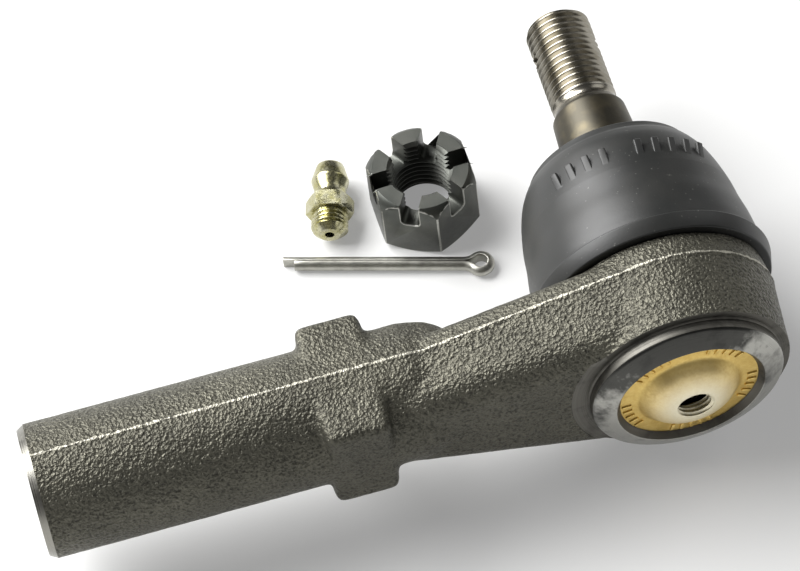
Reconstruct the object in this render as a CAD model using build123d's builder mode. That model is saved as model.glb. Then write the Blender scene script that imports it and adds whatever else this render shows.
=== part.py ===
"""Tie rod end with a greaseable ball joint, and its castle nut, cotter pin and grease fitting.

Frame: the origin is the centre of the ball.  +Y runs along the stud towards its thread, -X along
the shank towards its threaded end, and +Z is up.  The part lies on its side on a level surface,
with the loose hardware set out beside it.  Millimetres.
"""
from build123d import *
import os
from math import atan2, cos, degrees, radians, sin, sqrt, tan

# ---------------------------------------------------------------- driving dimensions
# ball joint
ball_radius = 13.0
stud_neck_radius = 6.3
running_gap = 0.05            # ball to bearing, radial
body_gap = 0.3                # between solids that move apart
cavity_radius = 14.5
bearing_radius = 14.4

# stud
stud_thread_radius = 7.0      # M14 x 1.5
stud_tip = 77.5
thread_start = 56.5
taper_small_radius = 7.9
taper_small_height = 53.0
taper_large_height = 36.0
taper_slope = 1 / 16          # 1:8 on the diameter
cotter_hole_radius = 1.8
cotter_hole_from_tip = 7.3

# housing forging; its parting plane is y = 0
draft_angle = 6.0
socket_radius = 23.4
rim_radius = 20.0
rim_shoulder = -13.9          # machined flat round the rim
spot_face_radius = 23.7       # how far that flat runs into the arm
rim_edge = -16.2              # where the rim's wall meets its rolled-over face
rolled_edge = -18.3           # inner edge of the rolled-over face
rolled_edge_radius = 15.5
rolled_lip_radius = 14.3      # where the lip bears on the cover
neck_radius = 19.0
neck_top = 12.0
throat_radius = 12.2
throat_bottom = 6.2
arm_top = 5.1
arm_root_x = -50.6
arm_root_half_width = 13.4
arm_root_depth = 12.5         # below the parting plane
arm_fall = 0.054              # depth gained per millimetre towards the socket
arm_lower_draft = 9.8
arm_hidden_length = 10.0      # carried on inside the collar
arm_upper_edge_radius = 3.5
arm_lower_edge_radius = 5.0

# shank and its wrench collar
shank_end = -131.3
shank_radius = 13.8
shank_shoulder = -52.0
bore_radius = 9.19            # minor radius of M20 x 1.5
bore_depth = 70.0
collar_centre = -66.4
collar_length = 15.0
collar_half_height = 14.3

# cover plate
cover_radius = 15.7
cover_seat = -15.1
cover_thickness = 1.7
dome_radius = 10.2
dome_height = 4.0
dome_flat_radius = 4.2
port_radius = 3.46            # minor radius of M8 x 1
port_length = 2.6

# dust boot
boot_wall = 2.2
flange_radius = 25.3
flange_bottom = 5.4
flange_bottom_radius = 24.3
flange_edge = 9.0
flange_wall_top = 11.5
boot_split = 24.0             # where the bell ends and the neck begins
boot_face = 38.2
boot_seal_radius = 9.25
retaining_ring_radius = 21.0

# level surface that everything lies on
surface = -flange_radius

# castle nut, M14 x 1.5
nut_centre = (-36.1, 58.1)
nut_turn = -88.4
nut_across_flats = 21.0
nut_height = 16.0
nut_bore_radius = 6.19
nut_slot_width = 4.0
nut_slot_depth = 6.2

# cotter pin, 3.2 x 45, half-round wire bent double
pin_centre = (-47.2, 46.5)
pin_turn = -18.0
pin_length = 45.0
pin_radius = 1.45
pin_eye_radius = 1.5
pin_leg_gap = 0.05
pin_bend_radius = 4.0
pin_leg_difference = 2.5

# grease fitting, M8 x 1, lying on its side
fitting_centre = (-54.9, 63.9)
fitting_turn = 74.9
fitting_length = 17.5
fitting_across_flats = 9.0
fitting_ball_radius = 1.4

os.makedirs("parts", exist_ok=True)

# Planes that open up and down from the forging's parting plane.
above_parting = Plane(origin=(0, 0, 0), x_dir=(1, 0, 0), z_dir=(0, 1, 0))
below_parting = Plane.XZ

# heights of the cover's outer face and of its dome
cover_face = cover_seat - cover_thickness
dome_top = cover_face - dome_height


def sphere_height(radius, section_radius):
    """Height at which a sphere about the origin has the given section."""
    return sqrt(radius**2 - section_radius**2)


def write(piece, name):
    """Label a finished piece and write its STEP file."""
    piece.part.label = name
    export_step(piece.part, f"parts/{name}.step")


# ---------------------------------------------------------------- housing
# In plan the arm's sides run from its root to touch the socket's circle.
root_distance = sqrt(arm_root_x**2 + arm_root_half_width**2)
touch_length = sqrt(root_distance**2 - socket_radius**2)
arm_slope = atan2(socket_radius, touch_length) - atan2(arm_root_half_width, -arm_root_x)
touch_x = -socket_radius * sin(arm_slope)
touch_z = socket_radius * cos(arm_slope)
arm_start_x = arm_root_x - arm_hidden_length
arm_start_z = arm_root_half_width - arm_hidden_length * tan(arm_slope)
arm_depth = arm_root_depth + arm_fall * (touch_x - arm_root_x)
arm_halves = ((above_parting, arm_top, draft_angle), (below_parting, arm_depth, arm_lower_draft))
# the underside falls away towards the socket
arm_underside = Plane(
    origin=(arm_root_x, -arm_root_depth, 0),
    x_dir=(1, -arm_fall, 0),
    z_dir=(arm_fall, 1, 0),
)

with BuildPart() as arm:
    for half, depth, draft in arm_halves:
        with BuildSketch(half):
            with BuildLine():
                Polyline((arm_start_x, -arm_start_z), (touch_x, -touch_z), (touch_x, touch_z),
                         (arm_start_x, arm_start_z), close=True)
            make_face()
        extrude(amount=depth, taper=draft)
    split(bisect_by=arm_underside, keep=Keep.TOP)
    # the long edges are rounded, as the forging die leaves them
    arm_edges = ((arm_top, arm_upper_edge_radius), (-arm_root_depth, arm_lower_edge_radius))
    for height, radius in arm_edges:
        edges = arm.edges().filter_by(lambda edge: edge.length > -arm_root_x / 2)
        edges = edges.filter_by(lambda edge: abs(edge.center().Y - height) < arm_root_depth / 4)
        fillet(edges, radius=radius)

with BuildPart() as housing:
    # shank, turned round, with a rolled shoulder where the arm begins
    with BuildSketch(Plane.XY):
        with BuildLine():
            Polyline((-38, 4), (-38, 0), (shank_end, 0), (shank_end, shank_radius - 1.2),
                     (shank_end + 1.2, shank_radius), (shank_shoulder, shank_radius))
            Spline((shank_shoulder, shank_radius), (-45.5, 12.0), (-41.0, 7.6), (-38, 4),
                   tangents=((1, 0), (1, -1.6)))
        make_face()
    revolve(axis=Axis.X)

    # wrench collar, drafted both ways from the parting plane
    for half in (above_parting, below_parting):
        with BuildSketch(half):
            with Locations((collar_centre, 0)):
                RectangleRounded(collar_length, 2 * shank_radius, 2.5)
        extrude(amount=collar_half_height, taper=draft_angle)
    add(arm.part)

    # where the arm runs past the machined flat round the rim, it is faced back
    with BuildSketch(below_parting.offset(-rim_shoulder)):
        Circle(spot_face_radius)
    extrude(amount=-rim_shoulder, mode=Mode.SUBTRACT)

    # socket, with the machined rim below and the boot neck above
    with BuildSketch(Plane.XY):
        with BuildLine():
            Polyline((0, rolled_edge), (rolled_edge_radius, rolled_edge),
                     (rim_radius - 0.8, rim_edge - 0.4), (rim_radius, rim_edge + 0.3),
                     (rim_radius, rim_shoulder), (socket_radius - 1.5, rim_shoulder),
                     (socket_radius, 0), (socket_radius - 0.6, arm_top - 1), (socket_radius - 1.6, arm_top),
                     (neck_radius, arm_top), (neck_radius, neck_top), (0, neck_top), (0, rolled_edge))
        make_face()
    revolve(axis=Axis.Y)

    # cavity: cover pocket under the rolled lip, ball chamber, throat and flared mouth
    pocket_radius = cover_radius + 0.1
    with BuildSketch(Plane.XY):
        with BuildLine():
            Polyline((0, rolled_edge - 1), (rolled_edge_radius, rolled_edge - 1),
                     (rolled_edge_radius, rolled_edge), (rolled_lip_radius, cover_face),
                     (pocket_radius, cover_face), (pocket_radius, cover_seat),
                     (cavity_radius, cover_seat), (cavity_radius, throat_bottom),
                     (throat_radius, throat_bottom), (15.6, neck_top + 1), (0, neck_top + 1),
                     (0, rolled_edge - 1))
        make_face()
    revolve(axis=Axis.Y, mode=Mode.SUBTRACT)

    # threaded bore in the shank, bored to the minor radius, with a coned mouth and drill point
    with BuildSketch(Plane.XY):
        with BuildLine():
            Polyline((shank_end - 1, 0), (shank_end - 1, bore_radius + 2.2),
                     (shank_end, bore_radius + 1.2), (shank_end + 1.2, bore_radius),
                     (shank_end + bore_depth, bore_radius), (shank_end + bore_depth + 4, 0),
                     (shank_end - 1, 0))
        make_face()
    revolve(axis=Axis.X, mode=Mode.SUBTRACT)
write(housing, "housing")

# ---------------------------------------------------------------- bearings and preload spring
bearing_bore = ball_radius + running_gap
upper_low = 0.5
lower_low = -14.0
lower_high = -4.0

with BuildPart() as upper_bearing:
    with BuildSketch(Plane.XY):
        with Locations(((bearing_radius + 8) / 2, (upper_low + throat_bottom) / 2)):
            Rectangle(bearing_radius - 8, throat_bottom - upper_low)
    revolve(axis=Axis.Y)
    Sphere(bearing_bore, mode=Mode.SUBTRACT)
write(upper_bearing, "upper_bearing")

with BuildPart() as lower_bearing:
    with BuildSketch(Plane.XY):
        with BuildLine():
            Polyline((3, lower_low), (bearing_radius - 1.5, lower_low), (bearing_radius, lower_low + 1.5),
                     (bearing_radius, lower_high), (3, lower_high), (3, lower_low))
        make_face()
    revolve(axis=Axis.Y)
    Sphere(bearing_bore, mode=Mode.SUBTRACT)
write(lower_bearing, "lower_bearing")

spring_thickness = 0.8
with BuildPart() as preload_spring:
    with BuildSketch(Plane.XY):
        with BuildLine():
            Polyline((6.5, lower_low), (14.2, cover_seat + spring_thickness), (14.2, cover_seat),
                     (6.5, lower_low - spring_thickness), (6.5, lower_low))
        make_face()
    revolve(axis=Axis.Y)
write(preload_spring, "preload_spring")

# ---------------------------------------------------------------- cover plate
port_end = dome_top + port_length
with BuildPart() as cover_plate:
    with BuildSketch(Plane.XY):
        with BuildLine():
            Polyline((0, port_end), (5.0, port_end), (7.0, port_end + 1.2), (8.3, cover_seat),
                     (cover_radius, cover_seat), (cover_radius, cover_face), (dome_radius, cover_face))
            ThreePointArc((dome_radius, cover_face), (8.1, dome_top + 1.3), (dome_flat_radius, dome_top))
            Polyline((dome_flat_radius, dome_top), (0, dome_top), (0, port_end))
        make_face()
    revolve(axis=Axis.Y)
    with BuildSketch(Plane.XZ.offset(-cover_seat)):
        Circle(port_radius)
    extrude(amount=2 * -dome_top, both=True, mode=Mode.SUBTRACT)
write(cover_plate, "cover_plate")

# ---------------------------------------------------------------- ball stud
ball_flat = -12.2
neck_height = sphere_height(ball_radius, stud_neck_radius)
flat_radius = sqrt(ball_radius**2 - ball_flat**2)
taper_large_radius = taper_small_radius + (taper_small_height - taper_large_height) * taper_slope
with BuildPart() as ball_stud:
    with BuildSketch(Plane.XY):
        with BuildLine():
            Polyline((stud_neck_radius, 19.5), (stud_neck_radius, neck_height))
            ThreePointArc((stud_neck_radius, neck_height), (ball_radius, 0), (flat_radius, ball_flat))
            Polyline((flat_radius, ball_flat), (0, ball_flat), (0, stud_tip),
                     (stud_thread_radius - 1.3, stud_tip), (stud_thread_radius, stud_tip - 1.3),
                     (stud_thread_radius, thread_start), (stud_thread_radius - 0.3, thread_start - 0.6),
                     (stud_thread_radius - 0.3, thread_start - 1.4),
                     (taper_small_radius - 0.3, taper_small_height + 0.7),
                     (taper_small_radius, taper_small_height), (taper_large_radius, taper_large_height))
            Spline((taper_large_radius, taper_large_height), (8.2, 29.5), (6.9, 24.0),
                   (stud_neck_radius, 19.5), tangents=((0.05, -1), (0, -1)))
        make_face()
    revolve(axis=Axis.Y)
    with BuildSketch(Plane.YZ):
        with Locations((stud_tip - cotter_hole_from_tip, 0)):
            Circle(cotter_hole_radius)
    extrude(amount=2 * stud_thread_radius, both=True, mode=Mode.SUBTRACT)
write(ball_stud, "ball_stud")

# ---------------------------------------------------------------- dust boot, one moulding in three lengths
bell_radius = 24.1
bell_top_radius = 22.7
with BuildPart() as boot_flange:
    with BuildSketch(Plane.XY):
        with BuildLine():
            Polyline((retaining_ring_radius, flange_bottom), (flange_bottom_radius, flange_bottom),
                     (flange_radius, flange_edge), (bell_radius + 0.3, flange_edge + 1),
                     (bell_radius, flange_wall_top), (bell_radius - boot_wall, flange_wall_top),
                     (bell_radius - boot_wall, 10.2), (neck_radius, 10.2), (neck_radius, flange_edge),
                     (retaining_ring_radius, flange_edge), (retaining_ring_radius, flange_bottom))
        make_face()
    revolve(axis=Axis.Y)
write(boot_flange, "boot_flange")

with BuildPart() as boot_retaining_ring:
    with BuildSketch(Plane.XY):
        with Locations(((neck_radius + retaining_ring_radius) / 2, 7.3)):
            Rectangle(retaining_ring_radius - neck_radius, 3.4)
    revolve(axis=Axis.Y)
write(boot_retaining_ring, "boot_retaining_ring")

bell_bottom = flange_wall_top + body_gap
with BuildPart() as boot_bell:
    with BuildSketch(Plane.XY):
        with BuildLine():
            Spline((bell_radius, bell_bottom), (24.0, 15.5), (23.2, 19.5), (bell_top_radius, boot_split))
            Line((bell_top_radius, boot_split), (bell_top_radius - boot_wall, boot_split))
            Spline((bell_top_radius - boot_wall, boot_split), (23.2 - boot_wall, 19.5),
                   (24.0 - boot_wall, 15.5), (bell_radius - boot_wall, bell_bottom))
            Line((bell_radius - boot_wall, bell_bottom), (bell_radius, bell_bottom))
        make_face()
    revolve(axis=Axis.Y)
write(boot_bell, "boot_bell")

neck_bottom = boot_split + body_gap
neck_bottom_radius = bell_top_radius - 0.1
lip_low = 30.0
lip_radius = 10.8
face_radius = 17.3
with BuildPart() as boot_neck:
    with BuildSketch(Plane.XY):
        with BuildLine():
            Spline((neck_bottom_radius, neck_bottom), (21.6, 29.5), (20.2, 33.3), (face_radius, boot_face),
                   tangents=((-0.1, 1), (-0.75, 0.65)))
            Polyline((face_radius, boot_face), (boot_seal_radius, boot_face), (boot_seal_radius, lip_low),
                     (lip_radius, lip_low), (lip_radius, boot_face - 2.6), (16.6, boot_face - 2.6))
            Spline((16.6, boot_face - 2.6), (18.6, 32.4), (19.6, 29.0),
                   (neck_bottom_radius - boot_wall, neck_bottom), tangents=((0.7, -0.7), (0.1, -1)))
            Line((neck_bottom_radius - boot_wall, neck_bottom), (neck_bottom_radius, neck_bottom))
        make_face()
    revolve(axis=Axis.Y)
write(boot_neck, "boot_neck")

with BuildPart() as neck_ring:
    with BuildSketch(Plane.XY):
        with Locations((lip_radius + 0.8, lip_low + 1.8)):
            Circle(0.8)
    revolve(axis=Axis.Y)
write(neck_ring, "neck_ring")

# ---------------------------------------------------------------- castle nut
nut_plane = Plane(
    origin=(*nut_centre, surface),
    x_dir=(cos(radians(nut_turn)), sin(radians(nut_turn)), 0),
    z_dir=(0, 0, 1),
)
nut_corner = nut_across_flats / sqrt(3)
nut_turned = Plane(origin=nut_plane.origin, x_dir=nut_plane.x_dir, z_dir=-nut_plane.y_dir)
with BuildPart() as castle_nut:
    with BuildSketch(nut_plane):
        RegularPolygon(nut_corner, 6)
    extrude(amount=nut_height)
    # chamfered top and bottom corners, turned on the nut's axis
    with BuildSketch(nut_turned):
        with BuildLine():
            Polyline((0, 0), (nut_across_flats / 2 - 0.2, 0), (nut_corner, 1.3), (nut_corner, nut_height - 2.6),
                     (nut_across_flats / 2 - 1.8, nut_height), (0, nut_height), (0, 0))
        make_face()
    revolve(axis=Axis(nut_plane.origin, (0, 0, 1)), mode=Mode.INTERSECT)
    # threaded hole, bored to the minor radius, with coned mouths
    with BuildSketch(nut_turned):
        with BuildLine():
            Polyline((0, -0.1), (nut_bore_radius + 1.0, -0.1), (nut_bore_radius, 1.0),
                     (nut_bore_radius, nut_height - 0.8), (nut_bore_radius + 0.9, nut_height + 0.1),
                     (0, nut_height + 0.1), (0, -0.1))
        make_face()
    revolve(axis=Axis(nut_plane.origin, (0, 0, 1)), mode=Mode.SUBTRACT)
    # six slots, across the flats
    with BuildSketch(nut_plane.offset(nut_height - nut_slot_depth)):
        for turn in (30, 90, 150):
            with Locations(Location((0, 0, 0), (0, 0, turn))):
                Rectangle(2 * nut_across_flats, nut_slot_width)
    extrude(amount=2 * nut_slot_depth, mode=Mode.SUBTRACT)
write(castle_nut, "castle_nut")

# ---------------------------------------------------------------- cotter pin
pin_direction = Vector(cos(radians(pin_turn)), sin(radians(pin_turn)), 0)
pin_eye_offset = pin_length / 2 - pin_eye_radius - pin_radius
eye_centre = Vector(*pin_centre, surface + pin_radius) + pin_direction * pin_eye_offset
pin_plane = Plane(origin=eye_centre, x_dir=pin_direction, z_dir=(0, 0, 1))
leg_end = pin_eye_radius + pin_radius - pin_length
# each leg bends out and away on an arc that meets the eye's arc with no corner
bend_rise = pin_leg_gap + pin_bend_radius
bend_reach = sqrt((pin_eye_radius + pin_bend_radius) ** 2 - bend_rise**2)
bend_angle = degrees(atan2(bend_rise, bend_reach))
with BuildPart() as cotter_pin:
    with BuildLine(pin_plane) as wire_path:
        long_leg = Line((leg_end, pin_leg_gap), (-bend_reach, pin_leg_gap))
        CenterArc((-bend_reach, bend_rise), pin_bend_radius, 270, 90 - bend_angle)
        CenterArc((0, 0), pin_eye_radius, 180 - bend_angle, 2 * bend_angle - 360)
        CenterArc((-bend_reach, -bend_rise), pin_bend_radius, bend_angle, 90 - bend_angle)
        Line((-bend_reach, -pin_leg_gap), (leg_end + pin_leg_difference, -pin_leg_gap))
    wire_plane = Plane(origin=long_leg @ 0, x_dir=pin_plane.y_dir, z_dir=pin_direction)
    with BuildSketch(wire_plane):
        Circle(pin_radius)
        with Locations((-pin_radius, 0)):
            Rectangle(2 * pin_radius, 2 * pin_radius, mode=Mode.SUBTRACT)
    sweep(path=wire_path.wires()[0])
write(cotter_pin, "cotter_pin")

# ---------------------------------------------------------------- grease fitting
fitting_direction = Vector(cos(radians(fitting_turn)), sin(radians(fitting_turn)), 0)
fitting_rest = surface + fitting_across_flats / 2
fitting_base = Vector(*fitting_centre, fitting_rest) - fitting_direction * (fitting_length / 2)
# local x is the radius and local y runs from the thread's tip to the head
fitting_plane = Plane(origin=fitting_base, x_dir=(0, 0, 1), z_dir=Vector(0, 0, 1).cross(fitting_direction))
fitting_axis = Axis(fitting_base, fitting_direction)
hex_low = 5.0
hex_high = 8.7
ball_seat = 15.4
with BuildPart() as grease_fitting_body:
    with BuildSketch(fitting_plane):
        with BuildLine():
            Polyline((0, 0), (2.5, 0), (3.95, 1.1), (3.95, hex_low - 0.6), (3.5, hex_low), (4.3, hex_low),
                     (4.3, hex_high), (3.5, hex_high + 1.3), (3.4, 10.9), (4.0, 13.3), (4.0, 13.9), (3.0, 17.3),
                     (2.8, fitting_length), (0, fitting_length), (0, 0))
        make_face()
    revolve(axis=fitting_axis)
    with BuildSketch(Plane(origin=fitting_base + fitting_direction * hex_low,
                           x_dir=(0, 0, 1), z_dir=fitting_direction)):
        RegularPolygon(fitting_across_flats / 2, 6, major_radius=False, rotation=30)
    extrude(amount=hex_high - hex_low)
    with BuildSketch(fitting_plane):
        with BuildLine():
            Polyline((0, -0.1), (1.0, -0.1), (1.0, 1.0), (1.6, 1.0), (1.6, ball_seat),
                     (1.0, ball_seat + 1.2), (1.0, fitting_length - 0.3), (1.5, fitting_length + 0.1),
                     (0, fitting_length + 0.1), (0, -0.1))
        make_face()
    revolve(axis=fitting_axis, mode=Mode.SUBTRACT)
write(grease_fitting_body, "grease_fitting_body")

ball_place = 15.0
with BuildPart() as grease_fitting_ball:
    with Locations(fitting_base + fitting_direction * ball_place):
        Sphere(fitting_ball_radius)
write(grease_fitting_ball, "grease_fitting_ball")

coil_radius = 1.1
coil_wire = 0.2
coil_low = 1.25
coil_height = ball_place - fitting_ball_radius - coil_low - 0.15
with BuildPart() as grease_fitting_spring:
    with BuildLine() as coil:
        Helix(pitch=1.6, height=coil_height, radius=coil_radius,
              center=fitting_base + fitting_direction * coil_low, direction=fitting_direction)
    with BuildSketch(Plane(origin=coil.line @ 0, z_dir=coil.line % 0)):
        Circle(coil_wire)
    sweep(path=coil.line, is_frenet=True)
write(grease_fitting_spring, "grease_fitting_spring")
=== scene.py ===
"""Visual model of a tie rod end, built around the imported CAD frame.

The origin is the centre of the ball.  +Y runs along the stud towards its thread, -X along the
shank towards its threaded mouth, and +Z is up.  Blender works in metres; the sizes of turned and
forged features are written in millimetres and scaled by MM where they become geometry.
"""
import math
from contextlib import contextmanager

import bpy
from bpy.props import FloatProperty, FloatVectorProperty, IntProperty, PointerProperty
from mathutils import Matrix, Quaternion, Vector, noise


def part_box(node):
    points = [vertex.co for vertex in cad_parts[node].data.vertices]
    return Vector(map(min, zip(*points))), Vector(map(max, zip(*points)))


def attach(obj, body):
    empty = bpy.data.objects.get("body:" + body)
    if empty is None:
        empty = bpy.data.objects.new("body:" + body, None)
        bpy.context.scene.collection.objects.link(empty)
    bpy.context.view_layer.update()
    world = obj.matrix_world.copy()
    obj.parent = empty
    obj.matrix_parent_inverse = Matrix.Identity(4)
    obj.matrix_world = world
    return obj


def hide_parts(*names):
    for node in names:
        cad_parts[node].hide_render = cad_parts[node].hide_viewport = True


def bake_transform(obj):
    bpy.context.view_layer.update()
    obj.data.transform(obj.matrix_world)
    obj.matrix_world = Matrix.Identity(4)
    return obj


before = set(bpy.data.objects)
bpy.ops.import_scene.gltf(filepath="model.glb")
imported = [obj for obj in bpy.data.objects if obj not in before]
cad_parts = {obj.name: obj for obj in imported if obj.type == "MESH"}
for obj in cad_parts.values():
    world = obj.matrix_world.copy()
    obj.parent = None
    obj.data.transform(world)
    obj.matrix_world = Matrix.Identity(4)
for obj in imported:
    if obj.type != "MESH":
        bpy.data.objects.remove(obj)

bl_info = {
    "name": "Tie Rod End",
    "version": (1, 0, 0),
    "blender": (4, 5, 0),
    "location": "View3D > Sidebar > Tie Rod End",
    "description": "Models a forged tie rod end with its boot, stud, cover and loose hardware",
    "category": "Object",
}

MM = 0.001
ALONG_STUD = (-math.pi / 2, 0, 0)     # turns local +Z to +Y
ALONG_SHANK = (0, math.pi / 2, 0)     # turns local +Z to +X
SURFACE = min(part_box(name)[0].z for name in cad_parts)


def linear(code):
    """Linear RGBA of an sRGB hex colour."""
    parts = [int(code[i:i + 2], 16) / 255 for i in (1, 3, 5)]
    return [*(c / 12.92 if c <= 0.04045 else ((c + 0.055) / 1.055) ** 2.4 for c in parts), 1.0]


# ---------------------------------------------------------------- settings
class ForgingSettings(bpy.types.PropertyGroup):
    """Sizes and colours of the forged housing."""

    cell: FloatProperty(name="Skin cell", description="Size of the faces that the forged skin is made of",
                        default=0.52 * MM, min=0.3 * MM, max=2 * MM, unit="LENGTH")
    flash_height: FloatProperty(name="Flash height", description="How far the trimmed flash line stands out",
                                default=0.3 * MM, min=0, max=MM, unit="LENGTH")
    flash_width: FloatProperty(name="Flash width", description="Half width of the flash line at its foot",
                               default=0.5 * MM, min=0.1 * MM, max=2 * MM, unit="LENGTH")
    waviness: FloatProperty(name="Waviness", description="Depth of the slow unevenness that the die leaves",
                            default=0.14 * MM, min=0, max=MM, unit="LENGTH")
    grit: FloatProperty(name="Blasting grit", description="Depth of the dents that shot blasting leaves",
                        default=0.1 * MM, min=0, max=MM, unit="LENGTH")
    colour: FloatVectorProperty(name="Steel", description="Colour of the blasted skin", subtype="COLOR",
                                size=4, min=0, max=1, default=linear("#656358"))
    scale_colour: FloatVectorProperty(name="Scale", description="Colour of the scale left in the dents",
                                      subtype="COLOR", size=4, min=0, max=1, default=linear("#2b2a27"))


class BootSettings(bpy.types.PropertyGroup):
    """Sizes and colours of the rubber boot."""

    wall: FloatProperty(name="Wall", description="Thickness of the rubber", default=2.2 * MM,
                        min=0.5 * MM, max=4 * MM, unit="LENGTH")
    colour: FloatVectorProperty(name="Rubber", description="Colour of the rubber", subtype="COLOR",
                                size=4, min=0, max=1, default=linear("#232423"))


class StudSettings(bpy.types.PropertyGroup):
    """Sizes and colours of the ball stud and its nut."""

    radius: FloatProperty(name="Thread radius", description="Major radius of the stud's thread",
                          default=7 * MM, min=3 * MM, max=12 * MM, unit="LENGTH")
    pitch: FloatProperty(name="Pitch", description="Pitch of the stud's and the nut's thread",
                         default=1.5 * MM, min=0.5 * MM, max=3 * MM, unit="LENGTH")
    colour: FloatVectorProperty(name="Steel", description="Colour of the ground steel", subtype="COLOR",
                                size=4, min=0, max=1, default=linear("#98948a"))


class StageSettings(bpy.types.PropertyGroup):
    """Where the camera stands and how bright the light is."""

    azimuth: FloatProperty(name="Azimuth", description="Direction that the camera looks from",
                           default=math.radians(-8.38), subtype="ANGLE")
    elevation: FloatProperty(name="Elevation", description="Height angle that the camera looks from",
                             default=math.radians(56.65), subtype="ANGLE")
    roll: FloatProperty(name="Roll", description="Turn of the view", default=math.radians(-8.08),
                        subtype="ANGLE")
    distance: FloatProperty(name="Distance", description="Camera to the ball's plane", default=0.828,
                            min=0.1, max=5, unit="LENGTH")
    offset_right: FloatProperty(name="Offset right", description="Camera's shift to the right of the ball",
                                default=-0.05333, unit="LENGTH")
    offset_up: FloatProperty(name="Offset up", description="Camera's shift above the ball in the view",
                             default=0.00726, unit="LENGTH")
    lens: FloatProperty(name="Lens", description="Focal length in millimetres", default=184.8,
                        min=20, max=400)
    key_power: FloatProperty(name="Key power", description="Power of the large soft box in watts",
                             default=26.0, min=0, max=200, unit="POWER")
    room: FloatProperty(name="Room", description="Strength of the light from the room all round",
                        default=0.05, min=0, max=2)
    paper_glow: FloatProperty(name="Paper glow", description="Light that the backlit paper gives of its own",
                              default=0.27, min=0, max=1)


class TieRodEndSettings(bpy.types.PropertyGroup):
    """All the settings of the tie rod end."""

    round_steps: IntProperty(name="Round steps", description="Faces round a turned piece", default=128,
                             min=24, max=256)
    forging: PointerProperty(type=ForgingSettings)
    boot: PointerProperty(type=BootSettings)
    stud: PointerProperty(type=StudSettings)
    stage: PointerProperty(type=StageSettings)


# ---------------------------------------------------------------- modelling helpers
def only(piece):
    """Deselect everything, then select and activate one piece."""
    bpy.ops.object.select_all(action="DESELECT")
    piece.select_set(True)
    bpy.context.view_layer.objects.active = piece


@contextmanager
def editing(piece, kind="VERT", test=None):
    """Edit one piece, with the vertices, edges or faces that pass the test selected, or all of them."""
    only(piece)
    bpy.ops.object.mode_set(mode="EDIT")
    bpy.ops.mesh.select_mode(type=kind)
    bpy.ops.mesh.select_all(action="DESELECT" if test else "SELECT")
    if test:
        bpy.ops.object.mode_set(mode="OBJECT")
        mesh = piece.data
        for item in {"VERT": mesh.vertices, "EDGE": mesh.edges, "FACE": mesh.polygons}[kind]:
            item.select = test(item)
        bpy.ops.object.mode_set(mode="EDIT")
    yield
    bpy.ops.object.mode_set(mode="OBJECT")


def modify(piece, kind, **settings):
    """Add a modifier, set it and apply it."""
    only(piece)
    bpy.ops.object.modifier_add(type=kind)
    modifier = piece.modifiers[-1]
    for key, value in settings.items():
        setattr(modifier, key, value)
    bpy.ops.object.modifier_apply(modifier=modifier.name)


def named(name):
    """Name the object just added."""
    piece = bpy.context.object
    piece.name = piece.data.name = name
    return piece


def settle(piece, location=None, rotation=None):
    """Make a piece's place part of its mesh, once it is moved and turned to the place given, if any."""
    only(piece)
    if location is not None:
        piece.location = location
    if rotation is not None:
        piece.rotation_euler = rotation
    bpy.ops.object.transform_apply(location=True, rotation=True, scale=True)
    return piece


def clean(piece):
    """Merge doubled vertices and turn the faces outwards."""
    with editing(piece):
        bpy.ops.mesh.remove_doubles(threshold=0.002 * MM)
        bpy.ops.mesh.normals_make_consistent(inside=False)
    return piece


def arc(centre, radius, start, end, count=8):
    """Points in millimetres on an arc of an outline, from one angle to another in degrees."""
    angles = [math.radians(start + (end - start) * i / count) for i in range(count + 1)]
    return [(centre[0] + radius * math.cos(a), centre[1] + radius * math.sin(a)) for a in angles]


def smooth_line(points, per_span=6):
    """A smooth curve through the points of an outline, in millimetres."""
    ends = [points[0], *points, points[-1]]
    line = []
    for before, here, there, after in zip(ends, ends[1:], ends[2:], ends[3:]):
        for i in range(per_span):
            t = i / per_span
            line.append(tuple(
                0.5 * (2 * b + (c - a) * t + (2 * a - 5 * b + 4 * c - d) * t * t
                       + (3 * b - a - 3 * c + d) * t * t * t)
                for a, b, c, d in zip(before, here, there, after)))
    return [*line, points[-1]]


def turned(name, outline, steps=None, rotation=(0, 0, 0)):
    """Turn an outline of (radius, height) millimetres on a lathe, about local Z."""
    steps = steps or bpy.context.scene.tie_rod_end.round_steps
    bpy.ops.mesh.primitive_plane_add(size=MM)
    piece = named(name)
    first = outline[0]
    with editing(piece):
        bpy.ops.mesh.merge(type="CENTER")
        bpy.ops.transform.translate(value=(first[0] * MM, 0, first[1] * MM))
        for here, there in zip(outline, outline[1:]):
            step = ((there[0] - here[0]) * MM, 0, (there[1] - here[1]) * MM)
            bpy.ops.mesh.extrude_region_move(TRANSFORM_OT_translate={"value": step})
        bpy.ops.mesh.select_all(action="SELECT")
        bpy.ops.mesh.spin(steps=steps, angle=2 * math.pi, center=(0, 0, 0), axis=(0, 0, 1))
    return settle(clean(piece), rotation=rotation)


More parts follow.
